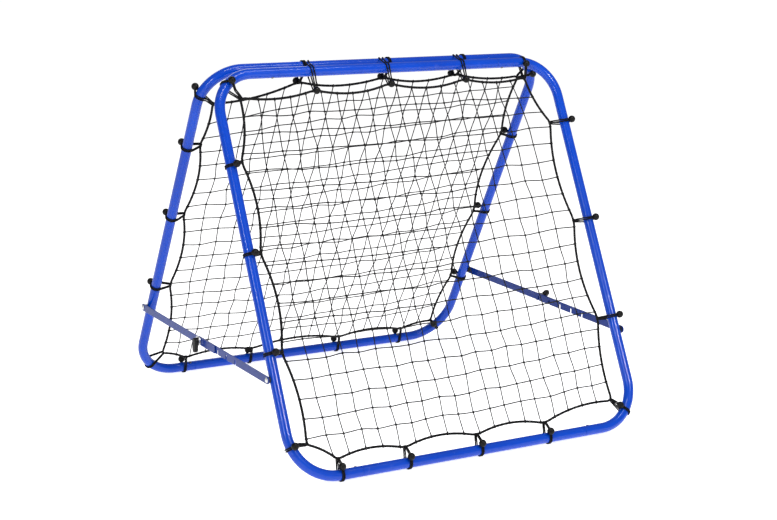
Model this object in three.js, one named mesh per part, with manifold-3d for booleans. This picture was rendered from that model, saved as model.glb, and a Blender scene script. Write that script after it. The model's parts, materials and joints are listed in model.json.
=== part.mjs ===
// Double-sided ball rebounder: two square tube frames with rounded corners lean against each other,
// each holds a net by ball bungees, and a folding brace on each side keeps their feet apart.
// Millimetres, +Z up, +X to the right, the front frame leans out towards -Y.
import * as THREE from "three";
import { mergeVertices } from "three/addons/utils/BufferGeometryUtils.js";
import Module from "manifold-3d";

const wasm = await Module();
wasm.setup();

const { PI, cos, sin } = Math;
const radians = THREE.MathUtils.degToRad;
const vec = (x, y, z) => new THREE.Vector3(x, y, z);

// ---- driving dimensions ----
const GAP = 0.3; // between neighbouring pieces

const TUBE_RADIUS = 12.7;
const TUBE_BORE = 11.5;
const FRAME_WIDTH = 974.6; // between tube centrelines
const FRAME_LENGTH = 974.6;
const TOP_BEND = 99; // bend radii of the tube centreline
const BOTTOM_BEND = 112;
const BEND_STEPS = 6;
const BEND_STEP = PI / 2 / BEND_STEPS;
const HALF_WIDTH = FRAME_WIDTH / 2;
const TUBE_SIDES = 14;
const BORE_SIDES = 8;

const JOINT_X = 318; // where a side tube ends and a crossbar begins
const SPIGOT_RADIUS = 10.2;
const SPIGOT_BORE = 9;
const SPIGOT_LENGTH = 32;
const BUTTON_X = 332;
const BUTTON_RADIUS = 3.2;
const BUTTON_RISE = 1.6;
const BUTTON_CLEARANCE = 0.6;

const FRONT_LEAN = radians(27.51);
const BACK_LEAN = radians(26.71);
const TOP_SPACING = 46; // between the two top tubes' centrelines

const CORD_BAND = 2.6; // thickness of the elastic cord round a tube
const CORD_WIDTH = 7; // two cords side by side
const LOOP_CLEARANCE = 1.5;
const LOOP_STEPS = 10;
const LOOP_STEP = (2 * PI) / LOOP_STEPS;
const LOOP_OUTER = TUBE_RADIUS + LOOP_CLEARANCE + CORD_BAND;
const BALL_RADIUS = 9.2;
const BALL_DISTANCE = 22.6; // ball centre to tube centreline
const ROPE_BALL_DISTANCE = 12.2; // ball centre in front of the border rope

const ROPE_THICKNESS = 4.4;
const ROPE_EYE = 3.9; // room for the rope inside a loop
const SIDE_SLACK = 5;
const CORNER_SLACK = 14;
const CORNER_REACH = 42; // border rope to tube at a corner
const SHORT_REACH = 28; // where a corner is held close
const SCALLOP = 0.065; // sag of the border rope over its span
const CORNER_SCALLOP = 0.03; // and beside a corner
const SCALLOP_STEPS = 3;
const NET_INSET = 19; // net edge inside the border rope
const NET_THICKNESS = 1.6;

const BAR_HEIGHT = 19;
const BAR_THICKNESS = 2.5;
const BAR_END = BAR_HEIGHT / 2;
const BRACE_HEIGHT = 228.6; // pivots above the floor
const INNER_BAR_X = 505.4;
const OUTER_BAR_X = INNER_BAR_X + BAR_THICKNESS + 0.5;
const BOLT_RADIUS = 3;
const BOLT_HOLE = 3.35;
const BOLT_DEPTH = 8.7; // into the tube's wall and bore
const SPACER_RADIUS = 7;
const HEAD_RADIUS = 6.5;
const HEAD_HEIGHT = 3.3;
const NOTCHES = 5;
const NOTCH_PITCH = 49;
const NOTCH_RADIUS = 3.5; // each notch ends in a half circle round the bolt, on the bar's middle line
const NOTCH_STEPS = 4;
const NOTCHED_BAR_TIP = 12;
const PLAIN_BAR_TIP = -88;

const STUD_OUT = 0.2; // stud end, past the inner face of the outer bar
const BOSS_RADIUS = 11.5;
const BOSS_LENGTH = 6;
const LEVER_THICKNESS = 10;
const LEVER_HUB = 9; // radius round the stud
const LEVER_TIP = 7; // radius of the far end
const LEVER_REACH = 21; // stud to the far end's centre
const MERGE = 1; // depth by which joined shapes go into each other

const ROUND_SIDES = 12;
const NUDGE = 0.001; // radians

// Where the bungees hold each net. Lengths run down from the top tube on the left and right, and
// along X on the top and bottom. Corners count bend steps from the leg. Reach is tube to border rope.
// Left and right are the frame's own, seen from its outer side. Turn is the ball's place on the tube
// in degrees from straight out, away from the net where it is positive.
const FRONT_NET = {
  left: { places: [216, 440, 677], reach: 28, turn: -14 },
  right: { places: [170, 438, 699], reach: 44, turn: 30 },
  top: { places: [-222, -14, 208], reach: 41, turn: 0 },
  bottom: { places: [-372, -192, 8, 208], reach: 36, turn: -30 },
  top_left: { step: 3, turn: 0 },
  top_right: { step: 5, turn: -30 },
  bottom_left: { step: 1, turn: 0 },
  bottom_right: { step: 3, turn: -60 },
};
const BACK_NET = {
  left: { places: [246, 512, 750], reach: 35, turn: -60 },
  right: { places: [214, 428, 668], reach: 28, turn: 18 },
  top: { places: [-236, -18, 233], reach: 43, turn: 0 },
  bottom: { places: [-335, -128, 151, 350], reach: 34, turn: -30 },
  top_left: { step: 2, reach: SHORT_REACH, turn: 180 },
  top_right: { step: 1, turn: 30 },
  bottom_left: { step: 3, reach: SHORT_REACH, turn: -120 },
  bottom_right: { step: 3, turn: 0 },
};

// ---- materials ----
const paint = new THREE.MeshStandardMaterial({ color: 0x1f47cf, roughness: 0.35, metalness: 0.1 });
const barPaint = new THREE.MeshStandardMaterial({ color: 0x2440a8, roughness: 0.45, metalness: 0.2 });
const zinc = new THREE.MeshStandardMaterial({ color: 0xb9bdc2, roughness: 0.35, metalness: 0.9 });
const plastic = new THREE.MeshStandardMaterial({ color: 0x17181a, roughness: 0.5, metalness: 0 });
const elastic = new THREE.MeshStandardMaterial({ color: 0x121214, roughness: 0.8, metalness: 0 });
const cord = new THREE.MeshStandardMaterial({ color: 0x1a1b1d, roughness: 0.9, metalness: 0 });

// ---- solids ----
function solid(geometry) {
  const bare = geometry.clone();
  bare.deleteAttribute("normal");
  bare.deleteAttribute("uv");
  const merged = mergeVertices(bare, 1e-4);
  const vertProperties = merged.attributes.position.array;
  const triVerts = new Uint32Array(merged.index.array);
  return new wasm.Manifold(new wasm.Mesh({ numProp: 3, vertProperties, triVerts }));
}

function geometryOf(body) {
  const { vertProperties, triVerts } = body.getMesh();
  const geometry = new THREE.BufferGeometry();
  geometry.setAttribute("position", new THREE.BufferAttribute(vertProperties, 3));
  geometry.setIndex(new THREE.BufferAttribute(triVerts, 1));
  geometry.computeVertexNormals();
  return geometry;
}

function named(name, geometry, material) {
  const mesh = new THREE.Mesh(geometry, material.clone());
  mesh.name = name;
  return mesh;
}

// A cylinder between two points.
function rod(from, to, radius, sides = ROUND_SIDES) {
  const along = to.clone().sub(from);
  const turn = new THREE.Quaternion().setFromUnitVectors(vec(0, 1, 0), along.clone().normalize());
  return new THREE.CylinderGeometry(radius, radius, along.length(), sides)
    .applyQuaternion(turn)
    .translate(...from.clone().add(to).multiplyScalar(0.5).toArray());
}

// A turned piece on the X axis from a profile of [x, radius] points that goes round its half section.
function turned(profile, sides = ROUND_SIDES) {
  const points = profile.map(([x, radius]) => new THREE.Vector2(radius, x));
  return new THREE.LatheGeometry(points, sides).rotateZ(-PI / 2);
}

function circlePoints(radius, sides) {
  return Array.from({ length: sides }, (_, i) => {
    const angle = (2 * PI * (i + 0.5)) / sides;
    return new THREE.Vector2(radius * cos(angle), radius * sin(angle));
  });
}

// ---- tube frame ----
// A path that stops only at the given points, and crosses each of them square to its bisector.
class StationPath extends THREE.Curve {
  constructor(stations) {
    super();
    this.stations = stations;
  }
  station(t) {
    return Math.round(t * (this.stations.length - 1));
  }
  getPoint(t) {
    return this.stations[this.station(t)].clone();
  }
  getPointAt(t) {
    return this.getPoint(t);
  }
  getTangentAt(t) {
    const { stations } = this;
    const here = this.station(t);
    const before = stations[Math.max(here - 1, 0)];
    const after = stations[Math.min(here + 1, stations.length - 1)];
    const into = stations[here].clone().sub(before).normalize();
    const out = after.clone().sub(stations[here]).normalize();
    return into.add(out).normalize();
  }
}

// Corner geometry of a frame in its own plane: side is -1 left or 1 right, top is true or false.
function bend(side, top) {
  const radius = top ? TOP_BEND : BOTTOM_BEND;
  const centre = vec(side * (HALF_WIDTH - radius), 0, top ? -radius : radius - FRAME_LENGTH);
  const outward = (step) => vec(side * cos(step * BEND_STEP), 0, (top ? 1 : -1) * sin(step * BEND_STEP));
  return { centre, radius, outward, point: (step) => centre.clone().addScaledVector(outward(step), radius) };
}

function sideTube(side, pivotDrop) {
  const steps = Array.from({ length: BEND_STEPS + 1 }, (_, i) => i);
  const stations = [
    vec(side * JOINT_X, 0, 0),
    ...steps.toReversed().map(bend(side, true).point),
    ...steps.map(bend(side, false).point),
    vec(side * JOINT_X, 0, -FRAME_LENGTH),
  ];
  const section = new THREE.Shape(circlePoints(TUBE_RADIUS, TUBE_SIDES));
  section.holes.push(new THREE.Path(circlePoints(TUBE_BORE, BORE_SIDES)));
  const extrudePath = new StationPath(stations);
  let body = solid(new THREE.ExtrudeGeometry(section, { steps: stations.length - 1, extrudePath }));
  const holeRadius = BUTTON_RADIUS + BUTTON_CLEARANCE;
  const x = side * BUTTON_X;
  const holes = [
    rod(vec(x, 0, 0), vec(x, 0, -2 * TUBE_RADIUS), holeRadius),
    rod(vec(x, 0, -FRAME_LENGTH), vec(x, 0, 2 * TUBE_RADIUS - FRAME_LENGTH), holeRadius),
    rod(vec(side * HALF_WIDTH, 0, -pivotDrop), vec(side * INNER_BAR_X, 0, -pivotDrop), BOLT_HOLE),
  ];
  for (const hole of holes) body = body.subtract(solid(hole));
  return geometryOf(body);
}

// A straight tube with a thinner spigot and a spring button at each end; inward is towards the net.
function crossbar(z, inward) {
  const shoulder = JOINT_X - GAP;
  const tip = shoulder + SPIGOT_LENGTH;
  const profile = [
    [-tip, SPIGOT_BORE],
    [-tip, SPIGOT_RADIUS],
    [-shoulder, SPIGOT_RADIUS],
    [-shoulder, TUBE_RADIUS],
    [shoulder, TUBE_RADIUS],
    [shoulder, SPIGOT_RADIUS],
    [tip, SPIGOT_RADIUS],
    [tip, SPIGOT_BORE],
    [-tip, SPIGOT_BORE],
  ];
  let body = solid(turned(profile).translate(0, 0, z));
  for (const x of [-BUTTON_X, BUTTON_X]) {
    const from = vec(x, 0, z + inward * (SPIGOT_BORE + GAP));
    const to = vec(x, 0, z + inward * (TUBE_RADIUS + BUTTON_RISE));
    body = body.add(solid(rod(from, to, BUTTON_RADIUS, BORE_SIDES)));
  }
  return geometryOf(body);
}

// ---- bungees ----
// Outline of a band stretched round some circles, each [x, y, radius], grown by a margin. Besides its
// even steps it has a point on either side of each direction where two circles reach equally far.
function band(circles, margin, phase) {
  const angles = Array.from({ length: LOOP_STEPS }, (_, i) => phase + (i + 0.5) * LOOP_STEP);
  for (const [x1, y1, radius1] of circles) {
    for (const [x2, y2, radius2] of circles) {
      const apart = Math.hypot(x2 - x1, y2 - y1);
      if (apart === 0) continue;
      const tangent = Math.atan2(y2 - y1, x2 - x1) + Math.acos((radius1 - radius2) / apart);
      angles.push(tangent - NUDGE, tangent + NUDGE);
    }
  }
  const around = (angle) => THREE.MathUtils.euclideanModulo(angle, 2 * PI);
  const ordered = angles.map(around).sort((a, b) => a - b);
  return ordered.map((angle) => {
    const ray = new THREE.Vector2(cos(angle), sin(angle));
    const reach = ([x, y, radius]) => x * ray.x + y * ray.y + radius;
    const further = (best, circle) => (reach(circle) > reach(best) ? circle : best);
    const [x, y, radius] = circles.reduce(further);
    return new THREE.Vector2(x, y).addScaledVector(ray, radius + margin);
  });
}

// Every place a net is held: the tube's centre there, the way to the rope, and the rope's own point.
function holds(net) {
  const list = [];
  const add = (label, centre, inward, reach, rest) =>
    list.push({ label, centre, inward, reach, rope: centre.clone().addScaledVector(inward, reach), ...rest });
  const corner = (label, side, top) => {
    const { point, outward } = bend(side, top);
    const { step, turn, reach = CORNER_REACH } = net[label];
    const rest = { slack: CORNER_SLACK, turn, corner: true };
    add(label + "_corner", point(step), outward(step).negate(), reach, rest);
  };
  const edge = (label, order, place, inward) => {
    const { places, reach, turn } = net[label];
    for (const at of order(places)) {
      const name = label + "_" + (places.indexOf(at) + 1);
      add(name, place(at), inward, reach, { slack: SIDE_SLACK, turn, top: label === "top" });
    }
  };
  const forward = (places) => places;
  const reversed = (places) => places.toReversed();
  corner("top_left", -1, true);
  edge("top", forward, (x) => vec(x, 0, 0), vec(0, 0, -1));
  corner("top_right", 1, true);
  edge("right", forward, (drop) => vec(HALF_WIDTH, 0, -drop), vec(-1, 0, 0));
  corner("bottom_right", 1, false);
  edge("bottom", reversed, (x) => vec(x, 0, -FRAME_LENGTH), vec(0, 0, 1));
  corner("bottom_left", -1, false);
  edge("left", reversed, (drop) => vec(-HALF_WIDTH, 0, -drop), vec(1, 0, 0));
  return list;
}

// A loop of doubled elastic cord round the tubes and the border rope, closed by a ball.
function bungee(hold, lean, extraTube) {
  const { centre, inward, reach, slack } = hold;
  const outward = vec(0, -1, 0);
  const tubeRoom = TUBE_RADIUS + LOOP_CLEARANCE;
  const circles = [[0, 0, tubeRoom], [reach + slack, 0, ROPE_EYE]];
  if (extraTube) circles.push([extraTube.dot(inward), extraTube.dot(outward), tubeRoom]);
  const shape = new THREE.Shape(band(circles, CORD_BAND, lean));
  shape.holes.push(new THREE.Path(band(circles, 0, lean)));
  const across = inward.clone().cross(outward);
  const frame = new THREE.Matrix4().makeBasis(inward, outward, across).setPosition(centre);
  const loop = new THREE.ExtrudeGeometry(shape, { depth: CORD_WIDTH, bevelEnabled: false })
    .translate(0, 0, -CORD_WIDTH / 2)
    .applyMatrix4(frame);
  const turn = radians(hold.turn);
  const ballAt = hold.top
    ? hold.rope.clone().addScaledVector(outward, ROPE_BALL_DISTANCE)
    : centre
        .clone()
        .addScaledVector(outward, BALL_DISTANCE * cos(turn))
        .addScaledVector(inward, -BALL_DISTANCE * sin(turn));
  const ball = new THREE.IcosahedronGeometry(BALL_RADIUS, 1).translate(...ballAt.toArray());
  return geometryOf(solid(loop).add(solid(ball)));
}

// ---- net and border rope ----
// The rope's centreline in the frame's plane: from hold to hold, sagging towards the net between them.
function ropeLine(list) {
  return list.flatMap(({ rope, corner }, i) => {
    const start = new THREE.Vector2(rope.x, rope.z);
    const next = list[(i + 1) % list.length];
    const sag = corner || next.corner ? CORNER_SCALLOP : SCALLOP;
    const span = new THREE.Vector2(next.rope.x, next.rope.z).sub(start);
    const inward = new THREE.Vector2(span.y, -span.x);
    return Array.from({ length: SCALLOP_STEPS }, (_, k) => {
      const t = k / SCALLOP_STEPS;
      return start.clone().addScaledVector(span, t).addScaledVector(inward, 4 * sag * t * (1 - t));
    });
  });
}

// The closed outline moved inwards by a distance, each corner along its bisector.
function inset(outline, distance) {
  return outline.map((point, i) => {
    const before = outline.at(i - 1).clone().sub(point).normalize();
    const after = outline[(i + 1) % outline.length].clone().sub(point).normalize();
    const along = after.clone().sub(before).normalize();
    const inward = new THREE.Vector2(along.y, -along.x);
    const mitre = Math.abs(inward.x * after.y - inward.y * after.x);
    return point.clone().addScaledVector(inward, distance / mitre);
  });
}

// A flat piece of the given outline, in the frame's plane.
function plate(outline, thickness) {
  return new THREE.ExtrudeGeometry(new THREE.Shape(outline), { depth: thickness, bevelEnabled: false })
    .translate(0, 0, -thickness / 2)
    .rotateX(PI / 2);
}

function ropeRing(line) {
  const outer = plate(inset(line, -ROPE_THICKNESS / 2), ROPE_THICKNESS);
  const opening = plate(inset(line, ROPE_THICKNESS / 2), 2 * ROPE_THICKNESS);
  return geometryOf(solid(outer).subtract(solid(opening)));
}

// ---- one complete frame ----
const outerName = { front: { left: "left", right: "right" }, back: { left: "right", right: "left" } };

function frame(which, net, lean, pivotDrop, otherTop) {
  const group = new THREE.Group();
  const swap = outerName[which];
  for (const own of ["left", "right"]) {
    const side = own === "left" ? -1 : 1;
    group.add(named(`${which}_${swap[own]}_side_tube`, sideTube(side, pivotDrop), paint));
  }
  group.add(named(`${which}_top_crossbar`, crossbar(0, -1), paint));
  group.add(named(`${which}_bottom_crossbar`, crossbar(-FRAME_LENGTH, 1), paint));
  const list = holds(net);
  const line = ropeLine(list);
  group.add(named(`${which}_border_rope`, ropeRing(line), cord));
  group.add(named(`${which}_net`, plate(inset(line, NET_INSET), NET_THICKNESS), cord));
  for (const hold of list) {
    const label = hold.label.replace(/left|right/, (own) => swap[own]);
    const extraTube = hold.top ? otherTop : undefined;
    group.add(named(`${which}_bungee_${label}`, bungee(hold, lean, extraTube), elastic));
  }
  return group;
}

// ---- braces ----
// An outline of Y and Z, made into a plate with its faces along X.
function upright(outline, depth) {
  const turnedUp = new THREE.Matrix4().makeBasis(vec(0, 1, 0), vec(0, 0, 1), vec(1, 0, 0));
  const settings = { depth, bevelEnabled: false, curveSegments: NOTCH_STEPS };
  return new THREE.ExtrudeGeometry(outline, settings).applyMatrix4(turnedUp);
}

// A strip in the YZ plane from its round pivot end at y = 0 to a square tip, with notches below.
function bar(length, notches) {
  const top = BAR_HEIGHT / 2;
  const outline = new THREE.Shape();
  outline.moveTo(0, top);
  outline.absarc(0, 0, BAR_END, PI / 2, (3 * PI) / 2, false);
  for (const y of notches) {
    outline.lineTo(y - NOTCH_RADIUS, -top);
    outline.absarc(y, 0, NOTCH_RADIUS, PI, 0, true);
    outline.lineTo(y + NOTCH_RADIUS, -top);
  }
  outline.lineTo(length, -top);
  outline.lineTo(length, top);
  return outline;
}

function barGeometry(length, notches, holePlaces) {
  const outline = bar(length, notches);
  for (const y of holePlaces) {
    const hole = circlePoints(BOLT_HOLE, BORE_SIDES).map((point) => point.add(new THREE.Vector2(y, 0)));
    outline.holes.push(new THREE.Path(hole));
  }
  return upright(outline, BAR_THICKNESS);
}

// Pivot rivet: a shank into the tube, a spacer up to the bar, and a domed head outside it.
function pivotBolt(barX) {
  const start = HALF_WIDTH + TUBE_RADIUS - BOLT_DEPTH;
  const spacerStart = HALF_WIDTH + TUBE_RADIUS + GAP;
  const spacerEnd = barX - GAP;
  const headStart = barX + BAR_THICKNESS + GAP;
  const dome = [0, PI / 6, PI / 3, PI / 2].map((angle) => [
    headStart + HEAD_HEIGHT * sin(angle),
    HEAD_RADIUS * cos(angle),
  ]);
  const profile = [
    [start, 0],
    [start, BOLT_RADIUS],
    [spacerStart, BOLT_RADIUS],
    [spacerStart, SPACER_RADIUS],
    [spacerEnd, SPACER_RADIUS],
    [spacerEnd, BOLT_RADIUS],
    [headStart, BOLT_RADIUS],
    ...dome,
  ];
  return turned(profile);
}

// Clamp lever: a stud that ends inside the outer bar, a boss, and a drop-shaped handle on its end.
function clampLever(direction) {
  const start = OUTER_BAR_X + STUD_OUT;
  const bossStart = OUTER_BAR_X + BAR_THICKNESS + GAP;
  const bossEnd = bossStart + BOSS_LENGTH;
  const profile = [
    [start, 0],
    [start, BOLT_RADIUS],
    [bossStart, BOLT_RADIUS],
    [bossStart, BOSS_RADIUS],
    [bossEnd, BOSS_RADIUS],
    [bossEnd, 0],
  ];
  const tip = [LEVER_REACH * cos(direction), LEVER_REACH * sin(direction), LEVER_TIP];
  const outline = new THREE.Shape(band([[0, 0, LEVER_HUB], tip], 0, 0));
  const handle = upright(outline, LEVER_THICKNESS).translate(bossEnd - MERGE, 0, 0);
  return geometryOf(solid(turned(profile)).add(solid(handle)));
}

// ---- assembly ----
const tubeHeight = LOOP_OUTER * cos(LOOP_STEP / 2); // bottom tubes stand on their cord loops
const placeFrame = (lean) => ({
  top: tubeHeight + FRAME_LENGTH * cos(lean),
  pivotDrop: (tubeHeight + FRAME_LENGTH * cos(lean) - BRACE_HEIGHT) / cos(lean),
});
const frontPlace = placeFrame(FRONT_LEAN);
const backPlace = placeFrame(BACK_LEAN);
const frontTop = vec(0, -TOP_SPACING / 2, frontPlace.top);
const backTop = vec(0, TOP_SPACING / 2, backPlace.top);
const towardsBack = backTop.clone().sub(frontTop).applyAxisAngle(vec(1, 0, 0), FRONT_LEAN);

const front = frame("front", FRONT_NET, FRONT_LEAN, frontPlace.pivotDrop, towardsBack);
front.position.copy(frontTop);
front.rotation.x = -FRONT_LEAN;

const back = frame("back", BACK_NET, BACK_LEAN, backPlace.pivotDrop);
back.rotation.x = -BACK_LEAN;
const backTurned = new THREE.Group();
backTurned.position.copy(backTop);
backTurned.rotation.z = PI;
backTurned.add(back);

const frontPivotY = -TOP_SPACING / 2 - frontPlace.pivotDrop * sin(FRONT_LEAN);
const backPivotY = TOP_SPACING / 2 + backPlace.pivotDrop * sin(BACK_LEAN);
const notchPlaces = Array.from({ length: NOTCHES }, (_, i) => -i * NOTCH_PITCH - frontPivotY).reverse();

function braces(sideName, side, leverDirection) {
  const group = new THREE.Group();
  const put = (mesh, y) => {
    mesh.position.set(0, y, BRACE_HEIGHT);
    group.add(mesh);
  };
  const notched = barGeometry(NOTCHED_BAR_TIP - frontPivotY, notchPlaces, [0]);
  const plain = barGeometry(backPivotY - PLAIN_BAR_TIP, [], [0, backPivotY]).rotateZ(PI);
  const plainX = OUTER_BAR_X + BAR_THICKNESS;
  put(named(`${sideName}_notched_brace_bar`, notched.translate(INNER_BAR_X, 0, 0), barPaint), frontPivotY);
  put(named(`${sideName}_plain_brace_bar`, plain.translate(plainX, 0, 0), barPaint), backPivotY);
  put(named(`front_${sideName}_pivot_bolt`, pivotBolt(INNER_BAR_X), zinc), frontPivotY);
  put(named(`back_${sideName}_pivot_bolt`, pivotBolt(OUTER_BAR_X), zinc), backPivotY);
  put(named(`${sideName}_clamp_lever`, clampLever(leverDirection), plastic), 0);
  group.scale.x = side;
  return group;
}

const group = new THREE.Group();
const leftLever = -PI / 2; // hangs down
const rightLever = (3 * PI) / 4; // stands up, leaning towards the front
group.add(front, backTurned, braces("left", -1, leftLever), braces("right", 1, rightLever));

// The origin is on the floor, under the middle of the whole object.
const extent = new THREE.Box3().setFromObject(group, true);
const middle = extent.getCenter(vec(0, 0, 0));
group.position.set(-middle.x, -middle.y, -extent.min.z);

export default group;
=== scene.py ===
"""Looks of a double-sided ball rebounder: two square tube frames that lean against each other, a knotted
net in each, held by ball bungees, and a folding brace on each side. Lengths are in metres."""
import json
import math

import bpy
import numpy as np
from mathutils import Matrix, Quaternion, Vector


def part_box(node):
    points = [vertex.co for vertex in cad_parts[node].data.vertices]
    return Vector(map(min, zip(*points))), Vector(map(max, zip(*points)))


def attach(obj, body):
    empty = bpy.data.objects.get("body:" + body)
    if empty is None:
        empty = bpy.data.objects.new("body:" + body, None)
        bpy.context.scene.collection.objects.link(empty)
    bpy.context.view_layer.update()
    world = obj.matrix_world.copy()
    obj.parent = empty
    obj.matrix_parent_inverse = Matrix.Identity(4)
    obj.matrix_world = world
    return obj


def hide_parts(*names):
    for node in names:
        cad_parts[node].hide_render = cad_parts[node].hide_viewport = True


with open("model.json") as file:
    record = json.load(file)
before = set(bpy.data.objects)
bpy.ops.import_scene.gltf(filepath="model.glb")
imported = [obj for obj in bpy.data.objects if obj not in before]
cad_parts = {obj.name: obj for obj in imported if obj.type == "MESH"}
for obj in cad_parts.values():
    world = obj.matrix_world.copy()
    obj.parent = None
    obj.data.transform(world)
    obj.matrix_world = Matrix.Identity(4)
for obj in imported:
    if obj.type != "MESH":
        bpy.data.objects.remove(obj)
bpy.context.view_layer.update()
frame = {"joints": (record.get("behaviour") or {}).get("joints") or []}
rng = np.random.default_rng(7)
joints = {joint["name"]: joint for joint in frame["joints"]}
TURN = 2 * math.pi
QUARTER = math.pi / 2

# ---- camera: the photograph's viewing angle, aimed from the frames' fold axis ----
CAMERA_AZIMUTH = math.radians(-30.91)
CAMERA_ELEVATION = math.radians(13.13)
CAMERA_ROLL = math.radians(1.51)
CAMERA_DISTANCE = 4.3415
CAMERA_LENS = 78.23
SENSOR_WIDTH = 36
AIM_FROM_FOLD = Vector((0.0126, -0.0394, -0.5021))

# ---- studio ----
SKY_STRENGTH = 0.32
FLOOR_GLOW = 0.72
FLOOR_SIZE = 400
LIGHT_TARGET = (0, 0, 0.45)
LIGHTS = {
    "key": {"at": (0.9, -4.2, 2.8), "size": (0.4, 0.5), "power": 72},
    "side_strip": {"at": (-3.4, -2.2, 1.9), "size": (0.22, 1.6), "power": 45},
    "overhead_strip": {"at": (0, -1.2, 3.2), "size": (2.6, 0.3), "power": 45},
    "rear": {"at": (0.6, 3.6, 2.4), "size": (2.4, 1.4), "power": 25},
}

# ---- all pieces; an edge looks smooth up to its smooth angle, in degrees ----
SMOOTH_ANGLE = 40
TURNED_SIDES = 32
NEARLY_UPRIGHT = 0.9

# ---- tube frames ----
TUBE_RADIUS = 0.0127
TUBE_BORE = 0.0115
TUBE_SIDES = 36
FRAME_SIZE = 0.9746
HALF_WIDTH = FRAME_SIZE / 2
TOP_BEND = 0.099
BOTTOM_BEND = 0.112
CORNER_STEP = math.radians(15)
BEND_RINGS = 20
STRAIGHT_RINGS = 4
MOUTH_CHAMFER = 0.0004
JOINT_X = 0.318
JOINT_GAP = 0.0003
SPIGOT_RADIUS = 0.0102
SPIGOT_BORE = 0.009
SPIGOT_LENGTH = 0.032
BUTTON_X = 0.332
BUTTON_SIDES = 20
BUTTON_DEPTH = 0.001
BUTTON_HEIGHT = 0.0016
TOP_SPACING = 0.046
FRONT_LEAN = math.radians(27.51)

# The rings round a button's hole and pin: radius, height, and whether the ring follows the round of the tube.
BUTTON_RINGS = [
    (0.0039, 0.00006, True),
    (0.0034, 0.00008, True),
    (0.0033, -0.0006, True),
    (0.0032, 0.0007, False),
    (0.0029, 0.0011, False),
    (0.0020, 0.0015, False),
    (0.0009, BUTTON_HEIGHT, False),
]

# ---- ropes, cords and balls ----
ROPE_RADIUS = 0.0030
ROPE_SIDES = 16
ROPE_STEP = 0.0016
ROPE_BRAIDS = 4
ROPE_BRAID_PITCH = 0.014
ROPE_BRAID_DEPTH = 0.09
ROPE_BRAID_MEAN = 0.6
SCALLOP = 0.078
CORNER_SCALLOP = 0.06
SPAN_STEPS = 16
ROPE_SWAY = 0.0015
ROPE_SOFTENING = 1

CORD_RADIUS = 0.0018
CORD_SIDES = 10
CORD_STEP = 0.0022
CORD_BRAIDS = 3
CORD_BRAID_TURN = 0.9
CORD_BRAID_DEPTH = 0.05
CORD_LIFT = -0.00034  # below zero, because a tight cord is pressed flat on what it goes round
CORD_END_RADIUS = CORD_RADIUS / 4
BELT_STEPS = 240
STRAND_TOUCH = 1.04
SPREAD_POWER = 0.8
BALL_RADIUS = 0.0092
BALL_DISTANCE = 0.0226
ROPE_BALL_DISTANCE = 0.0118
ROPE_BALL_DROP = 0.005
LOOP_SPREAD = 0.0024
TOP_LOOP_SPREAD = 0.0052
TOP_LOOP_SLANT = -0.42
BALL_SIDES = 28
BALL_RINGS = 19
BALL_SMOOTH_ANGLE = 50
BALL_HOLE = 0.0026
HOLE_FLOOR = -0.004
HOLE_FLOOR_TAPER = 0.0006
HOLE_LIP_TAPER = 0.0004
HOLE_LIP_DEPTH = 0.0007
PARTING_HEIGHT = 0.00012
PARTING_WIDTH = 0.03
GATE_ANGLE = 0.16
GATE_RADIUS = 0.0011
GATE_RIM_DEPTH = 0.00035
GATE_DEPTH = 0.0004

CELLS = 19
TWINE_RADIUS = 0.00145
TWINE_SIDES = 6
TWINE_STEPS = 5
TWINE_UNEVENNESS = 0.06
TWINE_WANDER = 0.0028
NET_SAG = 0.010
ROW_SAG = 0.006
TAUT = 0.85
EVEN_PULL = 0.5
SETTLING_ROUNDS = 1500
KNOT_RING = 0.0017
KNOT_WAVE = 0.0009
KNOT_CORD = 0.0010
KNOT_STEPS = 22
KNOT_SIDES = 5
KNOT_TURNS = 2
KNOT_WINDS = 3
WRAP_STEPS = 12
TIE_RADIUS = 0.0008
TIE_KNOT_SCALE = 0.75

# ---- braces ----
BAR_HALF = 0.0095
BAR_THICKNESS = 0.0025
BAR_BEVEL = 0.0003
BAR_CORNER = 0.0015
BAR_END_STEPS = 16
BAR_CORNER_STEPS = 5
BEVEL_STEPS = 3
FLAT_FACE = 0.99
PLATE_SMOOTH_ANGLE = 35
INNER_BAR_X = 0.5054
OUTER_BAR_X = 0.5084
BOLT_HOLE = 0.00335
BOLT_HOLE_STEPS = 20
NOTCHES = 5
NOTCH_PITCH = 0.049
NOTCH_RADIUS = 0.0035
NOTCH_STEPS = 10
NOTCHED_TIP = 0.012
PLAIN_TIP = 0.088

BOLT_RADIUS = 0.003
BOLT_START = 0.4913
BOLT_CHAMFER = 0.0004
HEAD_RADIUS = 0.0065
HEAD_HEIGHT = 0.0033
HEAD_EDGE = 0.0001
WASHER_THICKNESS = 0.0007
DOME_INSET = 0.0008
DOME_STEPS = 8
DOME_TOP_ANGLE = 0.12
SPACER_START = 0.5003
SPACER_RADIUS = 0.007
SPACER_CHAMFER = 0.0004
SPACER_CLEARANCE = 0.0001
PART_GAP = 0.0003

STUD_INSET = 0.0002
BOSS_LENGTH = 0.006
BOSS_RADIUS = 0.0115
BOSS_CHAMFER = 0.0005
BOSS_END_INSET = 0.0012
GROOVE_DEPTH = 0.0006
GROOVE_START = 0.0030
GROOVE_FLOOR_START = 0.0033
GROOVE_FLOOR_END = 0.0038
GROOVE_END = 0.0041
LEVER_OVERLAP = 0.001
LEVER_THICKNESS = 0.010
LEVER_HUB = 0.009
LEVER_TIP = 0.007
LEVER_REACH = 0.021
LEVER_STEP = 0.0012
LEVER_BEVEL = 0.0014

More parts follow.
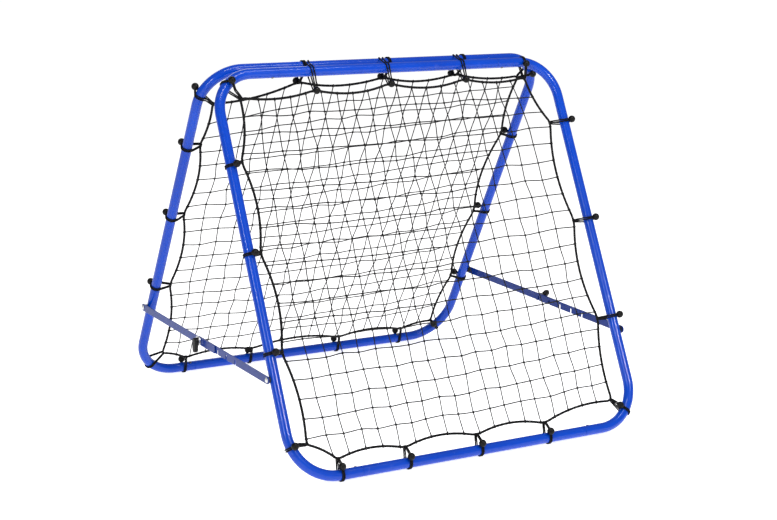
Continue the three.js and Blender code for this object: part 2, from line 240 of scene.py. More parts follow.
# Where the bungees hold each net. A hold on an edge has its place on that edge (down from the top tube on
# the left and right, along x on the top and bottom), the reach from tube to border rope, the ball's turn
# away from the net in degrees, how far along the tube the cord's loop slips past the rope's hold, and how
# far the ball slips past the loop. Slips of zero at the end are left out. A corner's place and slips are
# steps of 15 degrees from the leg. The end cells say how many cells wide the net's first and last ones are
# on each edge, clockwise from its top left corner.
NETS = {
    "front": {
        "left": [
            (0.216, 0.028, -14, 0.010),
            (0.440, 0.028, -14, 0.001),
            (0.677, 0.030, -14),
        ],
        "right": [
            (0.170, 0.044, 30),
            (0.438, 0.044, 30),
            (0.699, 0.044, 30),
        ],
        "top": [
            (-0.227, 0.049, 0),
            (-0.015, 0.041, 0),
            (0.207, 0.039, 0),
        ],
        "bottom": [
            (-0.372, 0.036, -48),
            (-0.192, 0.036, -30),
            (0.008, 0.036, -34),
            (0.208, 0.036, -34),
        ],
        "top_left": (3, 0.042, 0, 0.0, 0.4),
        "top_right": (5.6, 0.042, -30),
        "bottom_left": (1.65, 0.038, 0, -0.5),
        "bottom_right": (3, 0.042, -66),
        "end_cells": {"top": (1, 1), "right": (1.2, 1), "bottom": (1, 1.6), "left": (0.2, 1)},
    },
    "back": {
        "left": [
            (0.246, 0.035, -60, 0.006, -0.006),
            (0.512, 0.035, -60, 0.001, -0.009),
            (0.750, 0.035, -60, 0.007, -0.007),
        ],
        "right": [
            (0.219, 0.033, 18, 0.006, -0.003),
            (0.4345, 0.031, 18, 0.007, -0.002),
            (0.668, 0.038, 18),
        ],
        "top": [
            (-0.236, 0.043, 0, -0.006, 0.006),
            (-0.018, 0.043, 0),
            (0.224, 0.045, 0),
        ],
        "bottom": [
            (-0.335, 0.034, -30),
            (-0.128, 0.034, -30),
            (0.151, 0.034, -50),
            (0.350, 0.034, -30),
        ],
        "top_left": (2.5, 0.032, 180),
        "top_right": (0.1, 0.042, 30, 0.9, 0.5),
        "bottom_left": (3, 0.028, -120),
        "bottom_right": (3, 0.042, 0),
        "end_cells": {"top": (1, 1), "right": (1.4, 0.8), "bottom": (1, 1), "left": (1.3, 0.7)},
    },
}


# ---- placing ----
class FramePlane:
    """The plane through one frame's tubes: x to its own right, z up from the top tube, and out away from
    its inner side."""

    def __init__(self, name, top, lean, side):
        self.name = name
        self.body = f"{name}_frame"
        self.top = np.array(top, float)
        self.x = np.array([-side, 0.0, 0.0])
        self.up = np.array([0.0, -side * math.sin(lean), math.cos(lean)])
        self.out = np.array([0.0, side * math.cos(lean), math.sin(lean)])

    def at(self, x, z, out=0.0):
        parts = [np.asarray(value, float)[..., None] for value in (x, z, out)]
        return self.top + parts[0] * self.x + parts[1] * self.up + parts[2] * self.out

    def world_name(self, label):
        """The frame's own left and right, said as seen from the front."""
        if self.name == "front":
            return label
        swapped = {"left": "right", "right": "left"}
        return "_".join(swapped.get(word, word) for word in label.split("_"))


def frame_planes():
    fold = np.array(joints["frame_fold"]["pos_m"])
    back_pivot = np.array(joints["left_plain_bar_pivot"]["pos_m"])
    front_pivot = np.array(joints["left_notched_bar_pivot"]["pos_m"])
    back_lean = math.atan2(back_pivot[1] - fold[1], fold[2] - back_pivot[2])
    front_y = fold[1] - TOP_SPACING
    front_z = front_pivot[2] + (front_y - front_pivot[1]) / math.tan(FRONT_LEAN)
    front = FramePlane("front", (0, front_y, front_z), FRONT_LEAN, -1)
    back = FramePlane("back", (0, fold[1], fold[2]), back_lean, 1)
    front.other_top = back.top - front.top
    back.other_top = None
    return front, back


# ---- mesh making ----
class Shape:
    """Points, faces and face corners' UVs, collected from several parts."""

    def __init__(self):
        self.points = []
        self.faces = []
        self.uvs = []
        self.count = 0

    def add(self, points, faces, uvs=None):
        points = np.asarray(points, float).reshape(-1, 3)
        self.points.append(points)
        for index, face in enumerate(faces):
            self.faces.append(tuple(int(i) + self.count for i in face))
            self.uvs.extend(uvs[index] if uvs is not None else [(0.0, 0.0)] * len(face))
        self.count += len(points)

    def piece(self, name, material, smooth_angle=SMOOTH_ANGLE):
        mesh = bpy.data.meshes.new(name)
        mesh.from_pydata(np.concatenate(self.points).tolist(), [], self.faces)
        layer = mesh.uv_layers.new(name="UVMap")
        layer.data.foreach_set("uv", np.array(self.uvs, np.float32).ravel())
        mesh.validate()
        mesh.shade_smooth()
        mesh.set_sharp_from_angle(angle=math.radians(smooth_angle))
        obj = bpy.data.objects.new(name, mesh)
        bpy.context.scene.collection.objects.link(obj)
        mesh.materials.append(material)
        return obj


def unit(vectors):
    return vectors / np.linalg.norm(vectors, axis=-1, keepdims=True)


def spokes(ways, reference, sides):
    """For each way along a line, unit vectors out to the points of a ring round it."""
    first = unit(np.cross(np.broadcast_to(reference, ways.shape), ways))
    second = np.cross(ways, first)
    angles = TURN * np.arange(sides) / sides
    return np.cos(angles)[:, None] * first[:, None] + np.sin(angles)[:, None] * second[:, None]


def quads(count, sides, closed):
    """Faces from each ring of points to the next, and from the last to the first when closed."""
    faces = []
    for i in range(count if closed else count - 1):
        low, high = i * sides, (i + 1) % count * sides
        for j in range(sides):
            k = (j + 1) % sides
            faces.append((low + j, low + k, high + k, high + j))
    return faces


def sweep(shape, points, reference, radii, closed=False):
    """Rings round a path: radii has a row for each point and a column for each side."""
    count, sides = radii.shape
    tangents = unit(np.roll(points, -1, 0) - np.roll(points, 1, 0))
    if not closed:
        tangents[0] = unit(points[1] - points[0])
        tangents[-1] = unit(points[-1] - points[-2])
    rings = points[:, None] + radii[..., None] * spokes(tangents, reference, sides)
    steps = np.linalg.norm(np.diff(points, axis=0, append=points[:1]), axis=1)
    along = np.concatenate([[0], np.cumsum(steps)])
    faces = quads(count, sides, closed)
    uvs = []
    for i in range(count if closed else count - 1):
        for j in range(sides):
            left, right, low, high = j / sides, (j + 1) / sides, along[i], along[i + 1]
            uvs.append([(left, low), (right, low), (right, high), (left, high)])
    if not closed:
        faces += [tuple(reversed(range(sides))), tuple((count - 1) * sides + j for j in range(sides))]
        uvs += [[(0.0, 0.0)] * sides] * 2
    shape.add(rings, faces, uvs)


def turned(profile, origin, axis, sides):
    """Rings round an axis, one for each [distance along the axis, radius] point."""
    axis = unit(np.array(axis, float))
    helper = np.array([0.0, 0.0, 1.0]) if abs(axis[2]) < NEARLY_UPRIGHT else np.array([1.0, 0.0, 0.0])
    profile = np.array(profile, float)
    around = spokes(axis[None], helper, sides)
    return np.array(origin) + profile[:, 0, None, None] * axis + profile[:, 1, None, None] * around


def lathe(shape, profile, origin, axis, sides=TURNED_SIDES):
    """A turned solid from a profile that starts and ends on the axis."""
    rings = turned(profile[1:-1], origin, axis, sides)
    ends = turned([profile[0], profile[-1]], origin, axis, sides)[:, 0]
    faces = quads(len(rings), sides, closed=False)
    start = len(rings) * sides
    end = start + 1
    for j in range(sides):
        k = (j + 1) % sides
        faces.append((start, k, j))
        faces.append((end, start - sides + j, start - sides + k))
    shape.add(np.concatenate([rings.reshape(-1, 3), ends]), faces)


def turned_ring(shape, profile, origin, axis):
    """A turned ring from a closed profile."""
    shape.add(turned(profile, origin, axis, TURNED_SIDES), quads(len(profile), TURNED_SIDES, closed=True))


def resampled(points, step, closed):
    """The same line with points a fixed distance apart."""
    line = np.concatenate([points, points[:1]]) if closed else points
    lengths = np.concatenate([[0], np.cumsum(np.linalg.norm(np.diff(line, axis=0), axis=1))])
    count = max(8, round(lengths[-1] / step))
    wanted = np.linspace(0, lengths[-1], count, endpoint=not closed)
    return np.stack([np.interp(wanted, lengths, line[:, axis]) for axis in range(line.shape[1])], 1)


def softened(points, rounds):
    """A closed line with its kinks eased."""
    for _ in range(rounds):
        points = (np.roll(points, 1, 0) + 2 * points + np.roll(points, -1, 0)) / 4
    return points


def place(obj, body, slot, *nodes):
    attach(obj, body)
    if nodes:
        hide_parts(*nodes)


# ---- materials ----
class Paint:
    """A Principled material with short calls for the procedural nodes that feed it."""

    def __init__(self, name, **values):
        self.material = bpy.data.materials.new(name)
        self.material.use_nodes = True
        self.nodes = self.material.node_tree.nodes
        self.links = self.material.node_tree.links
        self.shader = self.nodes["Principled BSDF"]
        for socket, value in values.items():
            self.shader.inputs[socket.replace("_", " ").title().replace("Ior", "IOR")].default_value = value
        self.place = self.nodes.new("ShaderNodeTexCoord")

    def noise(self, scale, detail, stretch=None):
        node = self.nodes.new("ShaderNodeTexNoise")
        node.inputs["Scale"].default_value = scale
        node.inputs["Detail"].default_value = detail
        vector = self.place.outputs["Object"]
        if stretch:
            mapping = self.nodes.new("ShaderNodeMapping")
            mapping.inputs["Scale"].default_value = stretch
            self.links.new(vector, mapping.inputs["Vector"])
            vector = mapping.outputs["Vector"]
        self.links.new(vector, node.inputs["Vector"])
        return node.outputs["Fac"]

    def wave(self, scale, turn, stretch):
        """Stripes across the UVs, turned by an angle."""
        mapping = self.nodes.new("ShaderNodeMapping")
        mapping.inputs["Scale"].default_value = stretch
        mapping.inputs["Rotation"].default_value = (0, 0, turn)
        self.links.new(self.place.outputs["UV"], mapping.inputs["Vector"])
        node = self.nodes.new("ShaderNodeTexWave")
        node.inputs["Scale"].default_value = scale
        self.links.new(mapping.outputs["Vector"], node.inputs["Vector"])
        return node.outputs["Fac"]

    def math(self, operation, first, second):
        node = self.nodes.new("ShaderNodeMath")
        node.operation = operation
        for socket, value in zip(node.inputs, (first, second)):
            if isinstance(value, (int, float)):
                socket.default_value = value
            else:
                self.links.new(value, socket)
        return node.outputs[0]

    def ramp(self, factor, *stops):
        node = self.nodes.new("ShaderNodeValToRGB")
        elements = node.color_ramp.elements
        while len(elements) < len(stops):
            elements.new(0.5)
        for element, (position, color) in zip(elements, stops):
            element.position = position
            element.color = (*color, 1)
        self.links.new(factor, node.inputs["Fac"])
        return node.outputs["Color"]

    def mix(self, factor, first, second):
        node = self.nodes.new("ShaderNodeMix")
        node.data_type = "RGBA"
        self.links.new(factor, node.inputs["Factor"])
        for socket, value in ((node.inputs["A"], first), (node.inputs["B"], second)):
            if isinstance(value, tuple):
                socket.default_value = (*value, 1)
            else:
                self.links.new(value, socket)
        return node.outputs["Result"]

    def color(self, output):
        self.links.new(output, self.shader.inputs["Base Color"])

    def roughness(self, factor, low, high):
        node = self.nodes.new("ShaderNodeMapRange")
        node.inputs["To Min"].default_value = low
        node.inputs["To Max"].default_value = high
        self.links.new(factor, node.inputs["Value"])
        self.links.new(node.outputs["Result"], self.shader.inputs["Roughness"])

    def bump(self, height, distance, strength):
        node = self.nodes.new("ShaderNodeBump")
        node.inputs["Distance"].default_value = distance
        node.inputs["Strength"].default_value = strength
        self.links.new(height, node.inputs["Height"])
        self.links.new(node.outputs["Normal"], self.shader.inputs["Normal"])


def powder_coat(name, deep, bright, rough, gloss):
    """Glossy powder coat: fine orange peel, slight shade changes, and small dull rubs."""
    paint = Paint(name, specular_ior_level=gloss, coat_weight=gloss, coat_roughness=0.06)
    shade = paint.ramp(paint.noise(scale=5, detail=4), (0.3, deep), (0.7, bright))
    rub = paint.ramp(paint.noise(scale=38, detail=8), (0.64, (0, 0, 0)), (0.72, (1, 1, 1)))
    faded = tuple(0.75 * value + 0.06 for value in bright)
    paint.color(paint.mix(paint.math("MULTIPLY", rub, 0.25), shade, faded))
    dullness = paint.math("ADD", paint.noise(scale=60, detail=3), paint.math("MULTIPLY", rub, 0.5))
    paint.roughness(dullness, low=rough, high=rough + 0.14)
    paint.bump(paint.noise(scale=620, detail=2), distance=0.00012, strength=0.2)
    return paint.material


def braided(name, dark, light, repeats, pitch, depth):
    """Braided fibre: crossing diagonal plaits and single-fibre fuzz, with painted shade darkening the grooves
    between plaits.
    """
    paint = Paint(name, specular_ior_level=0.1, sheen_weight=0.01, sheen_roughness=0.5)
    stretch = (repeats, 1 / pitch, 1)
    leftward = paint.wave(scale=1, turn=math.pi / 4, stretch=stretch)
    rightward = paint.wave(scale=1, turn=-math.pi / 4, stretch=stretch)
    plait = paint.math("MAXIMUM", leftward, rightward)
    fuzz = paint.noise(scale=4200, detail=3)
    tone = paint.math("MULTIPLY", plait, paint.math("ADD", fuzz, 0.3))
    # Painted shade: the colour follows the bump, darker in the grooves between plaits, with the fibre fuzz
    # mixed in.
    paint.color(paint.ramp(tone, (0.2, dark), (0.85, light)))
    paint.roughness(fuzz, low=0.68, high=0.9)
    paint.bump(tone, distance=depth, strength=0.8)
    return paint.material


def twisted(name, dark, light, pitch):
    """Twisted net twine, with painted shade darkening the grooves between its strands."""
    paint = Paint(name, specular_ior_level=0.2)
    stripes = paint.wave(scale=1, turn=math.pi / 5, stretch=(2, 1 / pitch, 1))
    fuzz = paint.noise(scale=5200, detail=2)
    tone = paint.math("MULTIPLY", stripes, paint.math("ADD", fuzz, 0.4))
    # Painted shade: the colour is darker in the grooves between the twisted strands, where the bump is low,
    # with the fibre fuzz mixed in.
    paint.color(paint.ramp(tone, (0.1, dark), (0.9, light)))
    paint.roughness(fuzz, low=0.6, high=0.85)
    paint.bump(stripes, distance=0.00015, strength=0.8)
    return paint.material


def moulded_plastic(name, base, grain, rough):
    """Black moulded plastic with a fine grain and faint flow marks."""
    paint = Paint(name, specular_ior_level=0.18)
    flow = paint.noise(scale=90, detail=4)
    lighter = tuple(2 * value + 0.002 for value in base)
    paint.color(paint.ramp(flow, (0.3, base), (0.8, lighter)))
    paint.roughness(paint.noise(scale=160, detail=5), low=rough, high=rough + 0.18)
    paint.bump(paint.noise(scale=grain, detail=3), distance=0.00008, strength=0.4)
    return paint.material


def plated_steel(name, base, tint):
    """Zinc plate: brushed metal with a faint warm and cold cast."""
    paint = Paint(name, metallic=1.0)
    paint.color(paint.ramp(paint.noise(scale=140, detail=5), (0.3, base), (0.75, tint)))
    paint.roughness(paint.noise(scale=700, detail=4, stretch=(1, 6, 6)), low=0.22, high=0.48)
    paint.bump(paint.noise(scale=1500, detail=3, stretch=(1, 8, 8)), distance=0.00005, strength=0.3)
    return paint.material


def make_materials():
    black = (0.002, 0.002, 0.002)
    return {
        "paint": powder_coat(
            "frame_powder_coat",
            deep=(0.0, 0.042, 0.40),
            bright=(0.0, 0.054, 0.48),
            rough=0.14,
            gloss=0.22,
        ),
        "bar_paint": powder_coat(
            "brace_powder_coat",
            deep=(0.002, 0.022, 0.17),
            bright=(0.005, 0.032, 0.24),
            rough=0.26,
            gloss=0.16,
        ),
        "rope": braided(
            "border_rope_braid",
            dark=black,
            light=(0.012, 0.012, 0.013),
            repeats=2,
            pitch=0.0085,
            depth=0.0004,
        ),
        "elastic": braided(
            "elastic_cord_braid",
            dark=black,
            light=(0.010, 0.010, 0.011),
            repeats=2,
            pitch=0.005,
            depth=0.0003,
        ),
        "twine": twisted("net_twine", dark=(0.003, 0.003, 0.003), light=(0.016, 0.016, 0.017), pitch=0.004),
        "ball": moulded_plastic("ball_plastic", base=(0.0015, 0.0015, 0.0015), grain=900, rough=0.3),
        "lever": moulded_plastic("lever_plastic", base=(0.004, 0.004, 0.004), grain=1400, rough=0.38),
        "spacer": moulded_plastic("spacer_nylon", base=(0.010, 0.010, 0.011), grain=1100, rough=0.45),
        "steel": plated_steel("zinc_plate", base=(0.62, 0.62, 0.60), tint=(0.72, 0.73, 0.75)),
        "button": plated_steel("button_steel", base=(0.10, 0.10, 0.11), tint=(0.16, 0.16, 0.17)),
    }


# ---- tube frames ----
def bend_centre(side, top):
    radius = TOP_BEND if top else BOTTOM_BEND
    return np.array([side * (HALF_WIDTH - radius), -radius if top else radius - FRAME_SIZE]), radius


def bend_way(side, top, angle):
    """From a bend's centre to its outside, at an angle from the leg."""
    return np.array([side * np.cos(angle), (1 if top else -1) * np.sin(angle)])


def between(start, end):
    """The points inside a straight stretch, without its ends."""
    return np.linspace(start, end, STRAIGHT_RINGS)[1:-1]


def side_line(side):
    """Centreline of a side tube in the frame's plane, from its top mouth to its bottom mouth."""
    top, top_radius = bend_centre(side, True)
    bottom, bottom_radius = bend_centre(side, False)
    angles = np.linspace(0, QUARTER, BEND_RINGS)
    upper = top + top_radius * bend_way(side, True, angles[::-1]).T
    lower = bottom + bottom_radius * bend_way(side, False, angles).T
    top_mouth = np.array([side * JOINT_X, 0.0])
    bottom_mouth = np.array([side * JOINT_X, -FRAME_SIZE])
    return np.concatenate([
        [top_mouth],
        between(top_mouth, upper[0]),
        upper,
        between(upper[-1], lower[0]),
        lower,
        between(lower[-1], bottom_mouth),
        [bottom_mouth],
    ])


def hollow(shape, line, reference, outer, bore):
    """A tube with a real bore and chamfered mouths along a line: its rings run out and back inside."""
    ahead = unit(line[1] - line[0])
    behind = unit(line[-1] - line[-2])
    outside = np.concatenate([
        [line[0], line[0] + MOUTH_CHAMFER * ahead],
        line[1:-1],
        [line[-1] - MOUTH_CHAMFER * behind, line[-1]],
    ])
    radii = np.full(len(outside), outer)
    radii[[0, -1]] -= MOUTH_CHAMFER
    around = spokes(unit(np.gradient(outside, axis=0)), reference, TUBE_SIDES)
    outer_rings = outside[:, None] + radii[:, None, None] * around
    inner_rings = outside[:, None] + bore * around
    rings = np.concatenate([outer_rings, inner_rings[::-1]])
    shape.add(rings, quads(len(rings), TUBE_SIDES, closed=True))


def make_side_tube(plane, side, materials):
    line = side_line(side)
    shape = Shape()
    hollow(shape, plane.at(line[:, 0], line[:, 1]), plane.out, TUBE_RADIUS, TUBE_BORE)
    side_name = plane.world_name("left" if side < 0 else "right")
    obj = shape.piece(f"{plane.name}_{side_name}_side_tube_painted", materials["paint"])
    place(obj, plane.body, "frame_paint", f"{plane.name}_{side_name}_side_tube")


def make_crossbar(plane, z, label, materials):
    """The middle tube and the thinner spigots that go into the side tubes."""
    shape = Shape()
    end = JOINT_X - JOINT_GAP
    middle = np.linspace(-end, end, STRAIGHT_RINGS)
    hollow(shape, plane.at(middle, z), plane.out, TUBE_RADIUS, SPIGOT_BORE)
    for side in (-1, 1):
        reach = side * np.linspace(end - SPIGOT_LENGTH, end + SPIGOT_LENGTH, STRAIGHT_RINGS)
        hollow(shape, plane.at(reach, z), plane.out, SPIGOT_RADIUS, SPIGOT_BORE - JOINT_GAP)
    obj = shape.piece(f"{plane.name}_{label}_crossbar_painted", materials["paint"])
    place(obj, plane.body, "frame_paint", f"{plane.name}_{label}_crossbar")


def make_button(plane, x, z, inward, label, materials):
    """A spring button: a domed pin in its hole, whose edge follows the round of the tube."""
    angles = TURN * np.arange(BUTTON_SIDES) / BUTTON_SIDES
    points = []
    for radius, height, follows in BUTTON_RINGS:
        along, across = radius * np.cos(angles), radius * np.sin(angles)
        surface = np.sqrt(TUBE_RADIUS**2 - across**2) if follows else TUBE_RADIUS
        points.append(plane.at(x + along, z + inward * (surface + height), across))
    base = plane.at(x, z + inward * (TUBE_RADIUS - BUTTON_DEPTH))
    peak = plane.at(x, z + inward * (TUBE_RADIUS + BUTTON_HEIGHT))
    wind = 1 if inward > 0 else -1
    faces = [face[::-wind] for face in quads(len(BUTTON_RINGS), BUTTON_SIDES, closed=False)]
    last = (len(BUTTON_RINGS) - 1) * BUTTON_SIDES
    base_index = last + BUTTON_SIDES
    for j in range(BUTTON_SIDES):
        k = (j + 1) % BUTTON_SIDES
        faces.append((base_index + 1, last + j, last + k)[::-wind])
        faces.append((base_index, k, j)[::-wind])
    shape = Shape()
    shape.add(np.concatenate([*points, base[None], peak[None]]), faces)
    place(shape.piece(f"{plane.name}_{label}_button", materials["button"]), plane.body, "zinc")


# ---- where the net is held ----
class Hold:
    """One bungee's hold: the rope's place, the tube's centre and inward way at the cord's loop, and the
    tube's centre at the ball."""

    def __init__(self, label, tube_at, place_on_tube, reach, turn, slip=0.0, ball_slip=0.0, corner=False):
        rope_foot, inward = tube_at(place_on_tube)
        self.rope = rope_foot + reach * inward
        self.centre, self.loop_inward = tube_at(place_on_tube + slip)
        self.ball_foot, _ = tube_at(place_on_tube + slip + ball_slip)
        self.label = label
        self.reach = reach
        self.turn = math.radians(turn)
        self.corner = corner


def holds_of(net):
    """The holds in order round the frame, from its top left corner."""

    def corner(label, side, top):
        middle, radius = bend_centre(side, top)

        def tube_at(step):
            way = bend_way(side, top, step * CORNER_STEP)
            return middle + radius * way, -way

        return Hold(f"{label}_corner", tube_at, *net[label], corner=True)

    def edge(label, tube_at, backwards=False):
        made = [Hold(f"{label}_{i + 1}", tube_at, *values) for i, values in enumerate(net[label])]
        return made[::-1] if backwards else made

    def straight(point_at, inward):
        return lambda place: (np.array(point_at(place), float), np.array(inward, float))

    return [
        corner("top_left", -1, True),
        *edge("top", straight(lambda x: (x, 0), (0, -1))),
        corner("top_right", 1, True),
        *edge("right", straight(lambda drop: (HALF_WIDTH, -drop), (-1, 0))),
        corner("bottom_right", 1, False),
        *edge("bottom", straight(lambda x: (x, -FRAME_SIZE), (0, 1)), backwards=True),
        corner("bottom_left", -1, False),
        *edge("left", straight(lambda drop: (-HALF_WIDTH, -drop), (1, 0)), backwards=True),
    ]


def rope_line(holds):
    """The border rope's points, each x, z and a small sway out of the frame's plane. Every SPAN_STEPS-th one
    is at a hold."""
    line = []
    for here, after in zip(holds, holds[1:] + holds[:1]):
        span = after.rope - here.rope
        inward = np.array([span[1], -span[0]])
        sag = CORNER_SCALLOP if here.corner or after.corner else SCALLOP
        sway = ROPE_SWAY * rng.uniform(-1, 1)
        for step in range(SPAN_STEPS):
            t = step / SPAN_STEPS
            point = here.rope + t * span + 4 * sag * t * (1 - t) * inward
            line.append([*point, sway * math.sin(math.pi * t)])
    return softened(np.array(line), ROPE_SOFTENING)


def make_rope(plane, line, materials):
    points = resampled(line, ROPE_STEP, closed=True)
    count = len(points)
    turns = round(count * ROPE_STEP / ROPE_BRAID_PITCH)
    along = TURN * turns * np.arange(count) / count
    around = TURN * np.arange(ROPE_SIDES) / ROPE_SIDES
    left = np.cos(ROPE_BRAIDS * around[None] + along[:, None])
    right = np.cos(ROPE_BRAIDS * around[None] - along[:, None])
    radii = ROPE_RADIUS * (1 + ROPE_BRAID_DEPTH * (np.maximum(left, right) - ROPE_BRAID_MEAN))
    shape = Shape()
    sweep(shape, plane.at(*points.T), plane.out, radii, closed=True)
    obj = shape.piece(f"{plane.name}_border_rope_braided", materials["rope"])
    place(obj, plane.body, "border_rope", f"{plane.name}_border_rope")


# ---- bungees ----
def belt(circles):
    """The line of a cord stretched round some circles, each x, y and radius."""
    line = []
    for angle in TURN * np.arange(BELT_STEPS) / BELT_STEPS:
        ray = np.array([math.cos(angle), math.sin(angle)])
        x, y, radius = max(circles, key=lambda item: item[0] * ray[0] + item[1] * ray[1] + item[2])
        line.append(np.array([x, y]) + radius * ray)
    return np.array(line)


def make_bungee(plane, hold, materials):
    """A ball and a loop of doubled elastic cord round the tube, or both top tubes, and the border rope."""
    inward = plane.at(*(hold.centre + hold.loop_inward)) - plane.at(*hold.centre)
    across = np.cross(inward, plane.out)
    centre = plane.at(*hold.centre)
    lift = CORD_RADIUS + CORD_LIFT
    on_top = hold.label.startswith("top") and not hold.corner
    rope_from_loop = plane.at(*hold.rope) - centre
    rope_at = np.array([rope_from_loop @ inward, 0.0])
    rope_shift = rope_from_loop @ across
    if on_top:
        ball = np.array([hold.reach + ROPE_BALL_DROP, ROPE_BALL_DISTANCE])
    else:
        ball = BALL_DISTANCE * np.array([-math.sin(hold.turn), math.cos(hold.turn)])
    ball_shift = (plane.at(*hold.ball_foot) - centre) @ across
    circles = [(0, 0, TUBE_RADIUS + lift), (*rope_at, ROPE_RADIUS + lift), (*ball, CORD_END_RADIUS)]
    spread, slant = LOOP_SPREAD, 0.0
    if on_top and plane.other_top is not None:
        other = plane.other_top
        circles.append((other @ inward, other @ plane.out, TUBE_RADIUS + lift))
        spread, slant = TOP_LOOP_SPREAD, TOP_LOOP_SLANT
    flat = resampled(belt(circles), CORD_STEP, closed=True)
    from_ball = np.linalg.norm(flat - ball, axis=1)
    from_rope = np.linalg.norm(flat - rope_at, axis=1)
    near = np.minimum(from_ball, from_rope)
    apart = CORD_RADIUS * STRAND_TOUCH + (spread - CORD_RADIUS) * (near / near.max()) ** SPREAD_POWER
    to_rope = np.clip((flat[:, 0] - TUBE_RADIUS) / (rope_at[0] - TUBE_RADIUS), 0, 1)
    to_ball = np.clip(1 - from_ball / BALL_DISTANCE, 0, 1)
    drift = rope_shift * to_rope + ball_shift * to_ball + slant * np.clip(-flat[:, 1], 0, None)
    angles = TURN * np.arange(CORD_SIDES) / CORD_SIDES
    shape = Shape()
    for strand in (-1, 1):
        points = centre + flat[:, :1] * inward + flat[:, 1:] * plane.out
        points = points + (strand * apart + drift)[:, None] * across
        turns = CORD_BRAID_TURN * strand * np.arange(len(points))
        wave = np.cos(CORD_BRAIDS * angles[None] + turns[:, None])
        sweep(shape, points, across, CORD_RADIUS * (1 + CORD_BRAID_DEPTH * wave), closed=True)
    node = f"{plane.name}_bungee_{plane.world_name(hold.label)}"
    place(shape.piece(f"{node}_cord", materials["elastic"]), plane.body, "bungee", node)
    ball_at = centre + ball[0] * inward + ball[1] * plane.out + drift[np.argmin(from_ball)] * across
    seat = rope_at if on_top else np.zeros(2)
    axis = (ball - seat)[0] * inward + (ball - seat)[1] * plane.out
    make_ball(plane, f"{node}_ball", ball_at, axis, materials)


def make_ball(plane, name, centre, axis, materials):
    """A moulded ball: a hole for the cord at its foot, a fine parting line, and a small gate mark on top."""
    hole = math.asin(BALL_HOLE / BALL_RADIUS)
    profile = [
        (HOLE_FLOOR, 0.0),
        (HOLE_FLOOR, BALL_HOLE - HOLE_FLOOR_TAPER),
        (-BALL_RADIUS + HOLE_LIP_DEPTH, BALL_HOLE - HOLE_LIP_TAPER),
    ]
    for share in np.linspace(0, 1, BALL_RINGS):
        latitude = hole + share * (math.pi - hole - GATE_ANGLE)
        ridge = PARTING_HEIGHT * math.exp(-(((latitude - QUARTER) / PARTING_WIDTH) ** 2))
        radius = BALL_RADIUS + ridge
        profile.append((-radius * math.cos(latitude), radius * math.sin(latitude)))
    profile += [(BALL_RADIUS - GATE_RIM_DEPTH, GATE_RADIUS), (BALL_RADIUS - GATE_DEPTH, 0.0)]
    shape = Shape()
    lathe(shape, profile, centre, axis, BALL_SIDES)
    place(shape.piece(name, materials["ball"], BALL_SMOOTH_ANGLE), plane.body, "bungee")


# ---- nets ----
def net_nodes(line, holds, end_cells):
    """The net's crossings: its edges are spread along the border rope, and the rest settle between them."""
    corners = [index * SPAN_STEPS for index, hold in enumerate(holds) if hold.corner]
    next_corners = corners[1:] + [corners[0] + len(line)]
    edges = []
    for start, end, edge in zip(corners, next_corners, ("top", "right", "bottom", "left")):
        part = line[np.arange(start, end + 1) % len(line)]
        lengths = np.concatenate([[0], np.cumsum(np.linalg.norm(np.diff(part, axis=0), axis=1))])
        first, last = end_cells[edge]
        shares = np.concatenate([[0], first + np.arange(CELLS - 1), [first + CELLS - 2 + last]])
        wanted = lengths[-1] * shares / shares[-1]
        edges.append(np.stack([np.interp(wanted, lengths, part[:, axis]) for axis in range(3)], 1))
    top, right, bottom, left = edges
    share = np.linspace(0, 1, CELLS + 1)[:, None, None]
    grid = (1 - share) * top[None] + share * bottom[None, ::-1]
    grid[0], grid[-1], grid[:, 0], grid[:, -1] = top, bottom[::-1], left[::-1], right
    pull_along_rows = np.array([1 - TAUT, TAUT, EVEN_PULL])
    for _ in range(SETTLING_ROUNDS):
        rows = (grid[1:-1, :-2] + grid[1:-1, 2:]) / 2
        columns = (grid[:-2, 1:-1] + grid[2:, 1:-1]) / 2
        grid[1:-1, 1:-1] = pull_along_rows * rows + (1 - pull_along_rows) * columns
    inner = grid[1:-1, 1:-1]
    inner += TWINE_WANDER * rng.uniform(-1, 1, inner.shape)
    bow = np.sin(math.pi * np.arange(1, CELLS) / CELLS)
    inner[..., 1] -= ROW_SAG * bow[:, None] * bow[None]
    inner[..., 2] -= NET_SAG * bow[:, None] * bow[None]
    return grid


def through(points, steps):
    """A Catmull-Rom curve through the points, with a number of steps between each two."""
    padded = np.concatenate([2 * points[:1] - points[1:2], points, 2 * points[-1:] - points[-2:-1]])
    before, here, after, beyond = padded[:-3], padded[1:-2], padded[2:-1], padded[3:]
    made = []
    slope = after - before
    curving = 2 * before - 5 * here + 4 * after - beyond
    twist = 3 * here - before - 3 * after + beyond
    for t in np.arange(steps) / steps:
        made.append(0.5 * (2 * here + slope * t + curving * t**2 + twist * t**3))
    return np.concatenate([np.stack(made, 1).reshape(-1, points.shape[1]), points[-1:]])


def knot_template():
    """A small overhand knot: a closed twine that winds round its own ring three times in two turns."""
    t = TURN * np.arange(KNOT_STEPS) / KNOT_STEPS
    around, winding = KNOT_TURNS * t, KNOT_WINDS * t
    radius = KNOT_RING + KNOT_WAVE * np.cos(winding)
    points = np.stack([radius * np.cos(around), radius * np.sin(around), KNOT_WAVE * np.sin(winding)], 1)
    shape = Shape()
    sweep(shape, points, unit(points), np.full((KNOT_STEPS, KNOT_SIDES), KNOT_CORD), closed=True)
    return shape


def add_knots(shape, plane, centres, scale=1.0):
    template = knot_template()
    points = np.concatenate(template.points)
    uvs = [template.uvs[4 * i:4 * i + 4] for i in range(len(template.faces))]
    for centre in centres:
        turn = rng.uniform(0, TURN)
        first = math.cos(turn) * plane.x + math.sin(turn) * plane.up
        second = np.cross(plane.out, first)
        basis = np.stack([first, second, plane.out])
        shape.add(centre + scale * points @ basis, template.faces, uvs)


